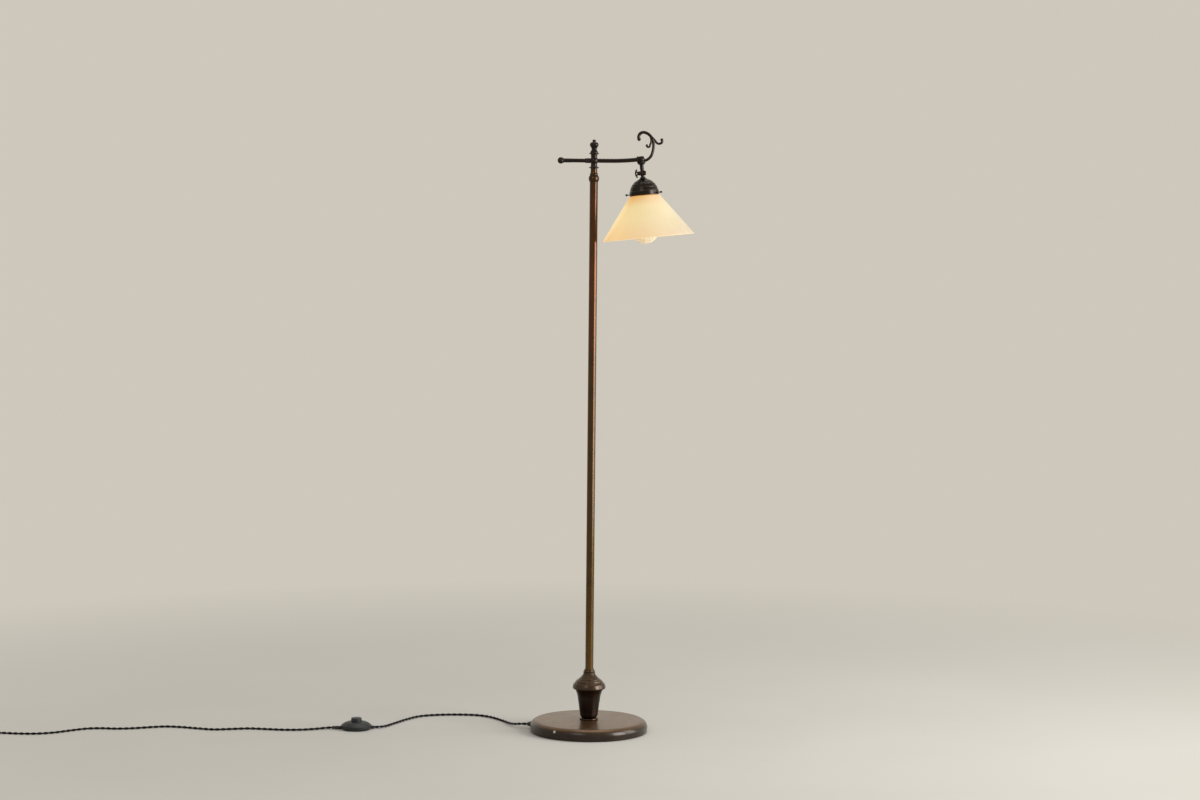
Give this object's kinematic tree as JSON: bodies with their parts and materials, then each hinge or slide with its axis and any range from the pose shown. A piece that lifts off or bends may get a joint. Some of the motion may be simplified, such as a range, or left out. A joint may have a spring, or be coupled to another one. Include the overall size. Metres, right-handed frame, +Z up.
{
  "type": "floor lamp",
  "caption": "Bridge floor lamp: round weighted base, turned urn, tall tube, sliding arm with a scroll, tilting glass cone shade, cloth cord and foot switch.",
  "frame": {"origin": "on the floor, at the centre of the base under the stem", "axes": "+Z up along the stem, +X along the arm towards the shade, +Y away from the viewer"},
  "size_m": [1.6158, 0.2966, 1.3162],
  "materials": {
    "felt": "dense dark felt",
    "iron": "rough casting",
    "bronze": "brown bronze lacquer, semi-gloss, worn at the edge",
    "dark_bronze": "dark brown bronze lacquer, semi-gloss",
    "copper_tube": "aged copper and brass, brushed along the tube",
    "copper": "aged copper",
    "brass": "plain brass",
    "steel": "zinc plated",
    "aluminium": "rolled",
    "black_plastic": "fine satin moulding",
    "rubber": "soft matt",
    "insulator": "moulded",
    "cloth_cord": "black braided cloth",
    "clear_glass": "clear",
    "opal_glass": "cream opal glass, satin"
  },
  "bodies": {
    "stand": {"base_felt": "felt", "base_weight": "iron", "base_cover": "bronze", "base_washer": "steel", "base_nut": "steel", "threaded_pipe": "steel", "cord_bushing": "black_plastic", "seat_ring": "copper", "urn_body": "dark_bronze", "urn_cap": "bronze", "check_ring": "bronze", "stem_tube": "copper_tube", "stem_insert_low": "brass", "stem_insert_high": "brass", "stem_collar": "copper", "swivel_post": "steel", "swivel_washer": "dark_bronze", "stem_cord": "cloth_cord", "switch_base": "black_plastic", "switch_cover": "black_plastic", "switch_block": "insulator", "switch_contacts": "brass", "switch_spring": "steel", "switch_screws": "steel", "switch_sleeves": "rubber", "cord_to_switch": "cloth_cord", "cord_to_coil": "cloth_cord", "cord_coil": "cloth_cord", "coil_tie": "rubber", "plug_body": "black_plastic", "plug_blades": "brass"},
    "crosspiece": {"crosspiece": "dark_bronze", "swivel_grub_screw": "steel"},
    "finial": {"finial": "dark_bronze"},
    "arm": {"arm_tube": "dark_bronze", "arm_end_ball": "dark_bronze", "arm_hub": "dark_bronze", "scroll": "dark_bronze", "arm_cord": "cloth_cord", "hanging_knuckle": "dark_bronze", "pivot_screw": "dark_bronze"},
    "wing_nut": {"wing_nut": "dark_bronze"},
    "head": {"tilting_knuckle": "dark_bronze", "head_nipple": "steel", "dome_ring": "dark_bronze", "shade_holder": "dark_bronze", "dome_nut": "steel", "socket_cap": "brass", "socket_shell": "brass", "socket_insulator": "insulator", "socket_screw_shell": "brass", "socket_leads": "cloth_cord", "bulb_cap": "aluminium", "bulb_glass": "clear_glass", "bulb_filament": "steel", "shade": "opal_glass"},
    "thumbscrew_1": {"thumbscrew_1": "dark_bronze"},
    "thumbscrew_2": {"thumbscrew_2": "dark_bronze"},
    "thumbscrew_3": {"thumbscrew_3": "dark_bronze"},
    "switch_button": {"switch_button": "black_plastic"}
  },
  "joints": [
    {"name": "arm_swivel", "type": "hinge", "parent": "stand", "child": "crosspiece", "pos_m": [0, 0, 1.24], "axis": [0, 0, 1], "range_deg": [-170, 170]},
    {"name": "arm_slide", "type": "slide", "parent": "crosspiece", "child": "arm", "axis": [1, 0, 0], "range_m": [-0.008, 0.0464]},
    {"name": "finial_turn", "type": "hinge", "parent": "crosspiece", "child": "finial", "pos_m": [0, 0, 1.268], "axis": [0, 0, 1], "range_deg": [0, 360]},
    {"name": "shade_tilt", "type": "hinge", "parent": "arm", "child": "head", "pos_m": [0.10515, 0, 1.22467], "axis": [0.9945, 0, 0.1045], "range_deg": [-80, 80]},
    {"name": "wing_nut_turn", "type": "hinge", "parent": "arm", "child": "wing_nut", "pos_m": [0.10515, 0, 1.22467], "axis": [0.9945, 0, 0.1045], "range_deg": [-180, 180]},
    {"name": "button_press", "type": "slide", "parent": "stand", "child": "switch_button", "axis": [0, 0, 1], "range_m": [-0.003, 0], "stiffness_N_per_m": 1200, "deforming": ["switch_spring"]},
    {"name": "thumbscrew_1_slide", "type": "slide", "parent": "head", "child": "thumbscrew_1", "axis": [0.0694, 0.9976, 0.0073], "range_m": [0, 0.004]},
    {"name": "thumbscrew_2_slide", "type": "slide", "parent": "head", "child": "thumbscrew_2", "axis": [-0.8939, -0.4384, -0.094], "range_m": [0, 0.004]},
    {"name": "thumbscrew_3_slide", "type": "slide", "parent": "head", "child": "thumbscrew_3", "axis": [0.8245, -0.5592, 0.0867], "range_m": [0, 0.004]}
  ]
}
